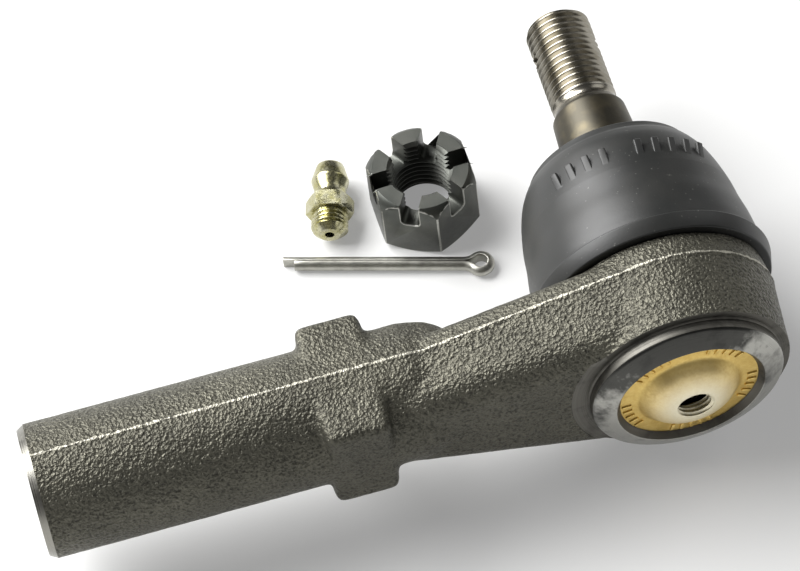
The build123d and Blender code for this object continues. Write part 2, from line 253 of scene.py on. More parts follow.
def thread_groove(name, crest, pitch, low, turns, inside=False, rotation=(0, 0, 0), steps=56):
    """The helical V groove of a metric thread about local Z, as a solid to cut with, in millimetres.

    crest is the radius of the thread's crests.  A male thread's groove goes in from there, and a
    female thread's goes out.
    """
    depth = 0.6134 * pitch
    spare = 0.05 * pitch
    root_flat = pitch / 7
    mouth = pitch * 0.95
    towards = 1 if inside else -1
    middle = crest + towards * (depth - spare) / 2
    bpy.ops.mesh.primitive_plane_add(size=MM, location=(middle * MM, 0, low * MM),
                                     rotation=(math.pi / 2, 0, 0))
    groove = named(name)
    groove.scale = (depth + spare, mouth, 1)
    bpy.ops.object.transform_apply(location=True, rotation=True, scale=True)
    with editing(groove, "VERT", lambda v: (v.co.x / MM - middle) * towards > 0):
        bpy.ops.transform.resize(value=(1, 1, root_flat / mouth), center_override=(0, 0, low * MM))
    with editing(groove):
        bpy.ops.mesh.delete(type="ONLY_FACE")
    return settle(wound(groove, pitch, turns, steps), rotation=rotation)


def wound(section, pitch, turns, steps):
    """A section carried round local Z in a helix, with its ends closed."""
    modify(section, "SCREW", axis="Z", angle=2 * math.pi, screw_offset=pitch * MM, iterations=turns,
           steps=steps, render_steps=steps, use_merge_vertices=False)
    with editing(section):
        bpy.ops.mesh.fill_holes(sides=12)
    return clean(section)


def combine(piece, tool, operation="DIFFERENCE"):
    """Cut, join or keep the overlap of a piece with a tool, and throw the tool away."""
    modify(piece, "BOOLEAN", object=tool, operation=operation, solver="EXACT", material_mode="TRANSFER")
    bpy.data.objects.remove(tool)
    return piece


def ringed(piece, turns):
    """Copies of a piece turned about local Z, joined into one; the piece itself is used up."""
    only(piece)
    copies = []
    for turn in turns:
        bpy.ops.object.duplicate(linked=False)
        copy = bpy.context.object
        copy.rotation_euler = (0, 0, turn)
        copies.append(copy)
        only(piece)
    bpy.data.objects.remove(piece)
    only(copies[0])
    for copy in copies:
        copy.select_set(True)
    bpy.ops.object.join()
    joined = bpy.context.object
    bpy.ops.object.transform_apply(location=True, rotation=True, scale=True)
    return joined


def coat(piece, *finishes):
    """Give a piece its materials."""
    piece.data.materials.clear()
    for made in finishes:
        piece.data.materials.append(made)
    return piece


def complete(piece, body, slot, *nodes, angle=32):
    """Smooth a finished piece, attach it to its body and let it stand for its CAD nodes."""
    only(piece)
    bpy.ops.object.shade_smooth_by_angle(angle=math.radians(angle))
    if body:
        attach(piece, body)
    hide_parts(*nodes)


# ---------------------------------------------------------------- materials
def add(tree, kind, sockets=None, **settings):
    """Add a shader node, set its properties, and set or link its inputs."""
    made = tree.nodes.new("ShaderNode" + kind)
    for key, value in settings.items():
        setattr(made, key, value)
    for key, value in (sockets or {}).items():
        if isinstance(value, bpy.types.NodeSocket):
            tree.links.new(value, made.inputs[key])
        else:
            made.inputs[key].default_value = value
    return made


def material(name):
    """A new material with its node tree and the object coordinates."""
    made = bpy.data.materials.new(name)
    made.use_nodes = True
    return made, made.node_tree, add(made.node_tree, "TexCoord").outputs["Object"]


def finish(made, colour, roughness, bump=None, metallic=0.0):
    """Link a material's colour, roughness and bump to its shader, and say how metallic it is."""
    tree = made.node_tree
    shader = tree.nodes["Principled BSDF"]
    tree.links.new(colour.outputs[2], shader.inputs["Base Color"])
    tree.links.new(roughness.outputs[0], shader.inputs["Roughness"])
    if bump:
        tree.links.new(bump.outputs[0], shader.inputs["Normal"])
    shader.inputs["Metallic"].default_value = metallic
    return made


def per(size):
    """Texture scale whose features are this many millimetres across."""
    return 1 / (size * MM)


def forged_steel(settings):
    """Forged steel, shot-blasted.

    Dull olive grey, as gritty as coarse sandpaper: dents half a millimetre across glint on one side
    and hold dark scale.  The trimmed flash line at the parting plane y = 0 is bare paler metal.
    """
    made, tree, place = material("forged steel, shot-blasted")
    grit = add(tree, "TexNoise", {"Vector": place, "Scale": per(0.62), "Detail": 1.5, "Roughness": 0.6})
    dents = add(tree, "TexVoronoi", {"Vector": place, "Scale": per(0.9), "Randomness": 1.0}, feature="F1")
    cloud = add(tree, "TexNoise", {"Vector": place, "Scale": per(14), "Detail": 4.0, "Roughness": 0.6})
    height = add(tree, "Math", {0: dents.outputs["Distance"], 1: 0.35, 2: grit.outputs["Fac"]},
                 operation="MULTIPLY_ADD")
    bump = add(tree, "Bump", {"Height": height.outputs[0], "Strength": 1.0, "Distance": 0.5 * MM})
    dark = add(tree, "MapRange", {"Value": grit.outputs["Fac"], "From Min": 0.3, "From Max": 0.52,
                                  "To Min": 0.65, "To Max": 0.0})
    skin = add(tree, "Mix", {0: dark.outputs[0], 6: settings.colour, 7: settings.scale_colour},
                     data_type="RGBA")
    tone = add(tree, "MapRange", {"Value": cloud.outputs["Fac"], "From Min": 0.35, "From Max": 0.7,
                                  "To Min": 0.0, "To Max": 0.35})
    skin = add(tree, "Mix", {0: tone.outputs[0], 6: skin.outputs[2], 7: linear("#8b8d92")},
               data_type="RGBA", blend_type="MULTIPLY")
    split = add(tree, "SeparateXYZ", {0: place})
    # bare metal on the flash line, broken up where the trimming tool tore it
    away = add(tree, "Math", {0: split.outputs["Y"]}, operation="ABSOLUTE")
    torn = add(tree, "TexNoise", {"Vector": place, "Scale": per(2.4), "Detail": 3.0, "Roughness": 0.7})
    width = add(tree, "MapRange", {"Value": torn.outputs["Fac"], "From Min": 0.3, "From Max": 0.75,
                                   "To Min": 0.0, "To Max": 0.5 * MM})
    bare = add(tree, "Math", {0: away.outputs[0], 1: width.outputs[0]}, operation="LESS_THAN")
    colour = add(tree, "Mix", {0: bare.outputs[0], 6: skin.outputs[2], 7: linear("#aeab9e")},
                       data_type="RGBA")
    rough = add(tree, "MapRange", {"Value": grit.outputs["Fac"], "From Min": 0.3, "From Max": 0.7,
                                   "To Min": 0.6, "To Max": 0.36})
    return finish(made, colour, rough, bump, metallic=0.75)


def turned_steel(name, colour, roughness, feed, axis, smudge_and_shade="#5b5a57", painted_shade_side=None):
    """Machined steel: fine turning marks ring the axis, and handling leaves darker smudges.

    feed is the distance between turning marks, drawn coarse enough in millimetres to show.  Where a
    side is given, as a direction, the metal is painted darker towards that side in ragged patches:
    painted shade, standing in for the dark that this side reflects.
    """
    made, tree, place = material(name)
    split = add(tree, "SeparateXYZ", {0: place})
    across = [split.outputs[a] for a in "XYZ" if a != axis]
    squares = [add(tree, "Math", {0: a, 1: 2.0}, operation="POWER").outputs[0] for a in across]
    total = add(tree, "Math", {0: squares[0], 1: squares[1]}, operation="ADD")
    radius = add(tree, "Math", {0: total.outputs[0]}, operation="SQRT")
    along = add(tree, "Math", {0: split.outputs[axis], 1: radius.outputs[0]}, operation="ADD")
    marks = add(tree, "TexNoise", {"W": along.outputs[0], "Scale": per(feed), "Detail": 2.0},
                noise_dimensions="1D")
    bump = add(tree, "Bump", {"Height": marks.outputs["Fac"], "Strength": 0.35, "Distance": 0.06 * MM})
    stain = add(tree, "TexNoise", {"Vector": place, "Scale": per(7), "Detail": 4.0, "Roughness": 0.65})
    amount = add(tree, "MapRange", {"Value": stain.outputs["Fac"], "From Min": 0.5, "From Max": 0.72,
                                    "To Min": 0.0, "To Max": 0.75})
    tint = add(tree, "Mix", {0: amount.outputs[0], 6: linear(colour), 7: linear(smudge_and_shade)},
                     data_type="RGBA")
    # painted shade: towards the given side the metal is painted darker, in ragged patches, for the dark it
    # reflects there
    if painted_shade_side:
        towards = add(tree, "VectorMath", {0: place, 1: painted_shade_side}, operation="DOT_PRODUCT")
        edge = add(tree, "Math", {0: stain.outputs["Fac"], 1: 26 * MM, 2: towards.outputs["Value"]},
                   operation="MULTIPLY_ADD")
        left = add(tree, "MapRange", {"Value": edge.outputs[0], "From Min": 19 * MM, "From Max": 25 * MM,
                                      "To Min": 0.0, "To Max": 0.9})
        tint = add(tree, "Mix", {0: left.outputs[0], 6: tint.outputs[2], 7: linear(smudge_and_shade)},
                         data_type="RGBA")
    rough = add(tree, "MapRange", {"Value": marks.outputs["Fac"], "From Min": 0.3, "From Max": 0.7,
                                   "To Min": roughness * 0.75, "To Max": roughness * 1.3})
    return finish(made, tint, rough, bump, metallic=1.0)


def ground_steel(settings):
    """Hardened steel, ground: bright thread and shoulder, satin taper with a faint brown oil film."""
    made, tree, place = material("alloy steel, ground and oiled")
    split = add(tree, "SeparateXYZ", {0: place})
    marks = add(tree, "TexNoise", {"W": split.outputs["Y"], "Scale": per(0.35), "Detail": 3.0},
                noise_dimensions="1D")
    stain = add(tree, "TexNoise", {"Vector": place, "Scale": per(4), "Detail": 3.0})
    taper = add(tree, "MapRange", {"Value": split.outputs["Y"], "From Min": 53.6 * MM,
                                   "From Max": 55.0 * MM, "To Min": 1.0, "To Max": 0.0})
    tint = add(tree, "Mix", {0: taper.outputs[0], 6: settings.colour, 7: linear("#4a473f")},
                     data_type="RGBA")
    film = add(tree, "MapRange", {"Value": stain.outputs["Fac"], "From Min": 0.45, "From Max": 0.75,
                                  "To Min": 0.0, "To Max": 0.6})
    tint = add(tree, "Mix", {0: film.outputs[0], 6: tint.outputs[2], 7: linear("#6b6350")},
                     data_type="RGBA")
    rough = add(tree, "MapRange", {"Value": taper.outputs[0], "To Min": 0.27, "To Max": 0.45})
    bump = add(tree, "Bump", {"Height": marks.outputs["Fac"], "Strength": 0.25, "Distance": 0.05 * MM})
    return finish(made, tint, rough, bump, metallic=1.0)


def moulded_rubber(settings):
    """Chloroprene rubber, moulded: satin charcoal, with pale dust specks and the mould's matt texture."""
    made, tree, place = material("chloroprene rubber, moulded")
    bloom = add(tree, "TexNoise", {"Vector": place, "Scale": per(9), "Detail": 4.0, "Roughness": 0.6})
    grain = add(tree, "TexNoise", {"Vector": place, "Scale": per(0.5), "Detail": 2.0})
    specks = add(tree, "TexNoise", {"Vector": place, "Scale": per(0.7), "Detail": 1.0})
    amount = add(tree, "MapRange", {"Value": bloom.outputs["Fac"], "From Min": 0.35, "From Max": 0.75,
                                    "To Min": 0.0, "To Max": 0.5})
    tint = add(tree, "Mix", {0: amount.outputs[0], 6: settings.colour, 7: linear("#302f2c")},
                     data_type="RGBA")
    dusty = add(tree, "MapRange", {"Value": specks.outputs["Fac"], "From Min": 0.74, "From Max": 0.8,
                                   "To Min": 0.0, "To Max": 0.5})
    tint = add(tree, "Mix", {0: dusty.outputs[0], 6: tint.outputs[2], 7: linear("#8a8a84")},
                     data_type="RGBA")
    rough = add(tree, "MapRange", {"Value": bloom.outputs["Fac"], "To Min": 0.36, "To Max": 0.52})
    bump = add(tree, "Bump", {"Height": grain.outputs["Fac"], "Strength": 0.2, "Distance": 0.05 * MM})
    return finish(made, tint, rough, bump)


def plated_steel(name, colour, second, roughness, patch=3.0, grain=0.5, centre=None):
    """Zinc-plated steel: a metal skin whose passivation drifts between two tints in soft patches.

    Where a centre in X and Z is given, the plate is painted paler towards it, a painted reflection.
    """
    made, tree, place = material(name)
    drift = add(tree, "TexNoise", {"Vector": place, "Scale": per(patch), "Detail": 3.0, "Roughness": 0.55})
    fine = add(tree, "TexNoise", {"Vector": place, "Scale": per(grain), "Detail": 3.0})
    amount = add(tree, "MapRange", {"Value": drift.outputs["Fac"], "From Min": 0.35, "From Max": 0.68})
    tint = add(tree, "Mix", {0: amount.outputs[0], 6: linear(colour), 7: linear(second)},
                     data_type="RGBA")
    # painted reflection: the plate is painted paler, nearly white, towards its middle
    if centre:
        moved = add(tree, "Mapping", {"Vector": place, "Scale": (1, 0, 1)})
        reach = add(tree, "VectorMath", {0: moved.outputs[0]}, operation="LENGTH")
        worn = add(tree, "MapRange", {"Value": reach.outputs["Value"], "From Min": centre[0] * MM,
                                      "From Max": centre[1] * MM, "To Min": 1.0, "To Max": 0.0},
                   interpolation_type="SMOOTHSTEP")
        tint = add(tree, "Mix", {0: worn.outputs[0], 6: tint.outputs[2], 7: linear(centre[2])},
                   data_type="RGBA")
    rough = add(tree, "MapRange", {"Value": fine.outputs["Fac"], "From Min": 0.3, "From Max": 0.7,
                                   "To Min": roughness * 0.8, "To Max": roughness * 1.3})
    bump = add(tree, "Bump", {"Height": fine.outputs["Fac"], "Strength": 0.2, "Distance": 0.04 * MM})
    return finish(made, tint, rough, bump, metallic=1.0)


def phosphated_steel():
    """Steel, manganese phosphated: charcoal, softly lustrous, with a fine crystalline grain."""
    made, tree, place = material("steel, manganese phosphated")
    crystal = add(tree, "TexNoise", {"Vector": place, "Scale": per(0.5), "Detail": 3.0, "Roughness": 0.6})
    cloud = add(tree, "TexNoise", {"Vector": place, "Scale": per(6), "Detail": 2.0})
    amount = add(tree, "MapRange", {"Value": cloud.outputs["Fac"], "From Min": 0.3, "From Max": 0.7})
    tint = add(tree, "Mix", {0: amount.outputs[0], 6: linear("#474945"), 7: linear("#5a5b56")},
                     data_type="RGBA")
    rough = add(tree, "MapRange", {"Value": crystal.outputs["Fac"], "To Min": 0.3, "To Max": 0.5})
    bump = add(tree, "Bump", {"Height": crystal.outputs["Fac"], "Strength": 0.3, "Distance": 0.05 * MM})
    return finish(made, tint, rough, bump, metallic=0.75)


def moulded_acetal():
    """Acetal, moulded: milky off-white with a faint wax sheen and darker grease films."""
    made, tree, place = material("acetal, moulded")
    grease = add(tree, "TexNoise", {"Vector": place, "Scale": per(5), "Detail": 3.0})
    amount = add(tree, "MapRange", {"Value": grease.outputs["Fac"], "From Min": 0.5, "From Max": 0.8})
    tint = add(tree, "Mix", {0: amount.outputs[0], 6: linear("#e3ded2"), 7: linear("#b39a62")},
                     data_type="RGBA")
    rough = add(tree, "MapRange", {"Value": grease.outputs["Fac"], "To Min": 0.5, "To Max": 0.25})
    return finish(made, tint, rough)


# ---------------------------------------------------------------- pieces
class TIEROD_OT_housing(bpy.types.Operator):
    """Forge the housing's blank, blast its skin, then machine its rim, socket and bore"""

    bl_idname = "tierod.housing"
    bl_label = "Housing"

    def execute(self, context):
        settings = context.scene.tie_rod_end.forging
        skin = forged_steel(settings)
        # painted shade: the rim's turned metal is painted darker towards its top, for the dark the rim
        # reflects there
        rim_metal = turned_steel("forged steel, turned", "#b0afa9", 0.36, 0.3, "Y",
                                 smudge_and_shade="#3a3a38", painted_shade_side=(-0.2, 0, 1.0))
        dull_metal = turned_steel("forged steel, rough turned", "#6f6d67", 0.5, 0.4, "Y",
                                  smudge_and_shade="#3b3a37")
        bore_metal = turned_steel("forged steel, bored", "#8f8d86", 0.34, 0.35, "X")
        blank = self.forge(settings)
        coat(blank, skin)
        self.blast(blank, settings)
        combine(blank, self.socket_tool(rim_metal, dull_metal))
        combine(blank, coat(self.bore_tool(), bore_metal))
        complete(blank, "housing", "forging", "housing", angle=42)
        return {"FINISHED"}

    def forge(self, settings):
        """The rough forging: shank, collar, arm and socket, grown together."""
        shank_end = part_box("housing")[0].x / MM
        shank = turned("shank", [(0, shank_end - 1.5), (13.8, shank_end - 1.5), (13.8, -53),
                                 *smooth_line([(13.6, -51.5), (12.3, -46.5), (9.0, -42.2), (4.5, -39)])[1:],
                                 (0, -38.5)], rotation=ALONG_SHANK)
        socket = turned("socket", [(0, -21), (21.2, -21), (21.9, -14.5), (23.3, -0.5), (23.3, 0.5),
                                   (22.4, 8), (20.5, 13.5), (0, 13.5)], rotation=ALONG_STUD)
        collar = self.block("collar", (-66.4, 0, 0), (15.2, 27.5), (13.1, 24.0), 14.35)
        arm = self.arm()
        only(shank)
        for part in (socket, collar, arm):
            part.select_set(True)
        bpy.ops.object.join()
        blank = named("housing_forging")
        modify(blank, "REMESH", mode="VOXEL", voxel_size=settings.cell)
        modify(blank, "SMOOTH", factor=0.5, iterations=6)
        # the hollow where the arm grows out of the collar
        hollow = blank.vertex_groups.new(name="hollow")
        for vertex in blank.data.vertices:
            reach = abs(vertex.co.x / MM + 57.2) / 3.2
            if reach < 1:
                hollow.add([vertex.index], 1 - reach**2, "REPLACE")
        modify(blank, "SMOOTH", factor=0.5, iterations=24, vertex_group="hollow")
        blank.vertex_groups.remove(blank.vertex_groups["hollow"])
        return blank

    def block(self, name, centre, foot, crest, height):
        """A block drafted both ways from the parting plane: foot and crest are its sizes in X and Z."""
        bpy.ops.mesh.primitive_cube_add(size=MM, location=[c * MM for c in centre])
        block = named(name)
        block.scale = (foot[0], 2 * height, foot[1])
        bpy.ops.object.transform_apply(location=True, rotation=True, scale=True)
        with editing(block):
            bpy.ops.mesh.bisect(plane_co=(0, 0, 0), plane_no=(0, 1, 0))
        for side in (-1, 1):
            with editing(block, "VERT", lambda v: v.co.y * side > MM):
                bpy.ops.transform.resize(value=(crest[0] / foot[0], 1, crest[1] / foot[1]),
                                         center_override=[c * MM for c in centre])
        modify(block, "BEVEL", width=1.6 * MM, segments=3, limit_method="ANGLE",
               angle_limit=math.radians(30))
        return block

    def arm(self):
        """The arm, widening and deepening from the collar to the socket, with its long edges rounded."""
        root, tip = -60.6, -2.0
        root_width, tip_width = 11.35, 23.2
        top = 5.1
        root_depth, tip_depth = 11.96, 15.12
        upper_draft, lower_draft = math.tan(math.radians(6)), math.tan(math.radians(9.8))
        bpy.ops.mesh.primitive_cube_add(size=MM, location=((root + tip) / 2 * MM, 0, 0))
        arm = named("arm")
        arm.scale = (tip - root, 2, 2)
        bpy.ops.object.transform_apply(location=True, rotation=True, scale=True)
        with editing(arm):
            bpy.ops.mesh.bisect(plane_co=(0, 0, 0), plane_no=(0, 1, 0))
        middle = (root + tip) / 2 * MM
        for end, width, depth in ((-1, root_width, root_depth), (1, tip_width, tip_depth)):
            for side, height, draft in ((-1, depth, lower_draft), (0, 0, 0), (1, top, upper_draft)):
                with editing(arm, "VERT", lambda v: (v.co.x - middle) * end > 0
                             and abs(v.co.y - side * MM) < 0.1 * MM):
                    bpy.ops.transform.resize(value=(1, 1, width - draft * height),
                                             center_override=(0, 0, 0))
                with editing(arm, "VERT", lambda v: (v.co.x - middle) * end > 0 and side
                             and abs(v.co.y - side * MM) < 0.1 * MM):
                    bpy.ops.transform.translate(value=(0, side * (height - 1) * MM, 0))
        for side, radius in ((-1, 5.0), (1, 3.5)):
            ends = arm.data.vertices
            with editing(arm, "EDGE", lambda e: all(ends[i].co.y * side > 2 * MM for i in e.vertices)
                         and abs(ends[e.vertices[0]].co.x - ends[e.vertices[1]].co.x) > 30 * MM):
                bpy.ops.mesh.bevel(offset=radius * MM, segments=6, affect="EDGES")
        return arm

    def blast(self, blank, settings):
        """Die unevenness, blasting dents and the trimmed flash line, as geometry."""
        waves = bpy.data.textures.new("die waves", "CLOUDS")
        waves.noise_scale = 6 * MM
        dents = bpy.data.textures.new("blasting dents", "CLOUDS")
        dents.noise_scale = 1.1 * MM
        for texture, depth in ((waves, settings.waviness), (dents, settings.grit)):
            modify(blank, "DISPLACE", texture=texture, texture_coords="LOCAL", strength=depth, mid_level=0.5)
        flash = blank.vertex_groups.new(name="flash")
        for vertex in blank.data.vertices:
            place = vertex.co
            across = abs(place.y) / settings.flash_width
            if across < 1:
                tears = 0.6 * noise.noise(place / (1.6 * MM)) + 0.3 * noise.noise(place / (0.6 * MM))
                ragged = 0.75 + tears
                flash.add([vertex.index], max(0, min(1, (1 - across**2) * ragged)), "REPLACE")
        modify(blank, "DISPLACE", strength=settings.flash_height, mid_level=0.0, vertex_group="flash")
        blank.vertex_groups.remove(blank.vertex_groups["flash"])

    def socket_tool(self, rim_metal, dull_metal):
        """What turning takes off round the rim and out of the socket, and off the boot's seat.

        The rim's wall and rolled-over face are turned fine; the flat round them and the lip's inner
        side are left dull.
        """
        rim = [(0, -24), (23.7, -24), (23.7, -14.0), (23.6, -13.9), (20.3, -13.9), (20.0, -14.2),
               (20.0, -15.6), *arc((18.9, -15.7), 1.1, 0, -65, 6), (15.75, -18.28),
               *arc((15.6, -18.0), 0.3, -60, -150, 4), (14.4, -16.9)]
        pocket = [(15.8, -16.82), (15.8, -15.1), (14.5, -15.1), (14.5, 6.2), (12.2, 6.2)]
        throat = [(15.6, 12), (18.5, 12), (19, 11.5), (19, 5.1), (24.2, 5.1), (24.2, 16), (0, 16)]
        tool = turned("socket_tool", [*rim, *pocket, *throat], rotation=ALONG_STUD)
        coat(tool, rim_metal, dull_metal)
        for face in tool.data.polygons:
            centre = face.center / MM
            radius = math.hypot(centre.x, centre.z)
            face.material_index = int(radius > 19.9 or radius < 15.4)
        return tool

    def bore_tool(self):
        """What boring and tapping take out of the shank, and facing takes off its end."""
        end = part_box("housing")[0].x / MM
        outline = [(0, end - 4), (18, end - 4), (18, end + 1.5), (13.75, end + 1.5), (12.9, end),
                   (10.6, end), (9.19, end + 1.4), (9.19, end + 70), (0, end + 74)]
        tool = turned("bore_tool", outline, rotation=ALONG_SHANK)
        groove = thread_groove("tap", 9.19, 1.5, end - 1.2, 44, inside=True, rotation=ALONG_SHANK)
        return combine(tool, groove, "UNION")


class TIEROD_OT_stud(bpy.types.Operator):
    """Turn the ball stud, roll its thread and drill its pin hole"""

    bl_idname = "tierod.stud"
    bl_label = "Ball stud"

    def execute(self, context):
        settings = context.scene.tie_rod_end.stud
        steel = ground_steel(settings)
        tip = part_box("ball_stud")[1].y / MM
        major = settings.radius / MM
        pitch = settings.pitch / MM
        ball = 13.0
        neck = 6.3
        joint = math.degrees(math.atan2(math.sqrt(ball**2 - neck**2), neck))
        flat = math.degrees(math.asin(12.2 / ball))
        outline = [
            (0, -12.2), *arc((0, 0), ball, -flat, joint, 40),
            *smooth_line([(neck, 12.6), (neck, 19.5), (6.9, 24), (8.2, 29.5), (8.96, 36)])[1:],
            (7.93, 52.5), *arc((7.4, 52.9), 0.5, 0, 70, 4), *arc((7.35, 55.2), 0.65, 235, 180, 4),
            (6.7, 55.5), (6.7, 56.2), (6.95, 56.6), (major, 56.8), (major, tip - 1.3),
            *arc((major - 1.2, tip - 1.2), 1.2, 0, 80, 6), (2.2, tip), (1.4, tip - 1.4), (0, tip - 2.2),
        ]
        stud = coat(turned("stud", outline, rotation=ALONG_STUD), steel)
        groove = thread_groove("rolling_die", major, pitch, 56.6, 15, rotation=ALONG_STUD)
        combine(stud, coat(groove, steel))
        bpy.ops.mesh.primitive_cylinder_add(vertices=40, radius=1.8 * MM, depth=20 * MM,
                                            location=(0, (tip - 7.3) * MM, 0), rotation=(0, math.pi / 2, 0))
        drill = named("drill")
        settle(drill)
        combine(stud, coat(drill, steel))
        complete(stud, "stud", "stud_steel", "ball_stud")
        return {"FINISHED"}


class TIEROD_OT_boot(bpy.types.Operator):
    """Mould the rubber boot: two lengths of wall, and its lip"""

    bl_idname = "tierod.boot"
    bl_label = "Dust boot"

    def execute(self, context):
        settings = context.scene.tie_rod_end.boot
        rubber = moulded_rubber(settings)
        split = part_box("boot_bell")[1].y / MM
        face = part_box("boot_neck")[1].y / MM
        wall = settings.wall / MM
        outer_low = smooth_line([(24.15, 10.6), (24.1, 12.5), (23.8, 16.2), (23.15, 20), (22.7, split)])
        inner_low = [(r - wall, h) for r, h in reversed(outer_low)]
        bead = [(21.0, 5.4), (24.0, 5.4), *arc((24.1, 5.8), 0.4, -80, -15, 3),
                *arc((24.95, 8.6), 0.35, -10, 85, 6), (24.6, 9.1), *arc((24.55, 9.5), 0.4, 270, 180, 4)]
        lower = turned("boot_lower", [*bead, *outer_low, *inner_low, (21.95, 10.2), (19.05, 10.2),
                                      (19.05, 9.0), (21.0, 9.0), (21.0, 5.4)])
        outer_high = smooth_line([(22.7, split), (22.3, 26.2), (21.55, 29.5), (20.5, 32.8), (19.45, 34.9),
                                  (19.0, 35.6)])
        rim = [(18.85, 35.85), (18.3, 35.9), (18.1, 36.2), (17.65, 37.65),
               *arc((17.25, 37.6), 0.4, 20, 95, 5), (16.6, face - 0.25), (12.5, face - 0.3), (9.6, face - 0.1),
               *arc((9.35, face - 0.5), 0.4, 80, 180, 4)]
        under = [(9.1, 35.9), (10.5, 35.4), (16.0, 35.4)]
        inner_high = smooth_line([(16.6, 35.0), (18.3, 32.6), (19.4, 29.0), (20.5, split)])
        upper = turned("boot_upper", [*outer_high, *rim, *under, *inner_high, (22.7, split)])
        self.mark(upper, rubber)
        # the lip that seals on the stud is a whole piece of its own, attached to the boot's top
        lip = turned("boot_lip", [(9.02, 36.5), (8.98, 35.2), (9.3, 31), (9.3, 30.2), (10.7, 30.0),
                                  (10.9, 36.5), (9.02, 36.5)])
        for piece in (lower, upper, lip):
            settle(piece, rotation=ALONG_STUD)
            coat(piece, rubber)
        complete(lower, None, "boot_rubber", "boot_flange", "boot_bell")
        complete(upper, None, "boot_rubber", "boot_neck")
        complete(lip, "boot_top", "boot_rubber", "boot_neck")
        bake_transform(lower)
        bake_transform(upper)
        return {"FINISHED"}

    def mark(self, upper, rubber):
        """Two groups of plain raised bars on the boot's shoulder, on opposite sides."""
        bpy.ops.mesh.primitive_cube_add(size=MM)
        bar = named("bar")
        bar.scale = (1.6, 1.0, 5.0)
        bpy.ops.object.transform_apply(scale=True)
        modify(bar, "BEVEL", width=0.3 * MM, segments=3)
        settle(bar, (0, -22.05 * MM, 27.1 * MM), (math.radians(12), 0, 0))
        turns = [math.radians(180 * side + 9.5 * i) for side in (0, 1) for i in range(-4, 6) if i != 0]
        combine(upper, coat(ringed(bar, turns), rubber), "UNION")


class TIEROD_OT_cover(bpy.types.Operator):
    """Press the cover plate, raise the dashes round its flat and tap its grease port"""

    bl_idname = "tierod.cover"
    bl_label = "Cover plate"

    def execute(self, context):
        # painted reflection: the dome is painted pale, nearly white, towards its middle
        metal = plated_steel("pressed steel, yellow zinc", "#ecd083", "#dcbd6e", 0.5, patch=4,
                             centre=(3.0, 11.5, "#f6efd6"))
        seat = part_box("cover_plate")[1].y / MM
        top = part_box("cover_plate")[0].y / MM
        face = seat - 1.7
        dome = smooth_line([(11.3, face), (10.7, face - 0.25), (9.8, face - 1.2), (8.4, face - 2.5),
                            (6.5, face - 3.45), (4.9, top + 0.12), (3.95, top)])
        outline = [(0, top + 2.6), (5.0, top + 2.6), (7.0, top + 3.8), (8.3, seat), (15.7, seat),
                   (15.7, face + 0.3), (15.4, face), *dome, (0, top)]
        cover = coat(turned("cover", outline), metal)
        self.stamp(cover, face, metal)
        drill = turned("drill", [(0, seat + 1), (3.46, seat + 1), (3.46, top + 0.3), (3.8, top - 0.1),
                                 (3.8, top - 2), (0, top - 2)])
        tap = thread_groove("tap", 3.46, 1.0, top - 1.0, 6, inside=True, steps=40)
        combine(cover, coat(combine(drill, tap, "UNION"), metal))
        settle(cover, rotation=ALONG_STUD)
        complete(cover, "housing", "yellow_zinc", "cover_plate")
        return {"FINISHED"}

    def stamp(self, cover, face, metal):
        """Groups of short plain dashes round the flat of the cover."""
        bpy.ops.mesh.primitive_cube_add(size=MM)
        dash = named("dash")
        dash.scale = (0.75, 2.0, 0.7)
        bpy.ops.object.transform_apply(scale=True)
        modify(dash, "BEVEL", width=0.18 * MM, segments=2)
        settle(dash, (0, 13.1 * MM, face * MM))
        turns = [math.radians(72 * group + 8.5 * i) for group in range(5) for i in range(-2, 3)]
        combine(cover, coat(ringed(dash, turns), metal), "UNION")


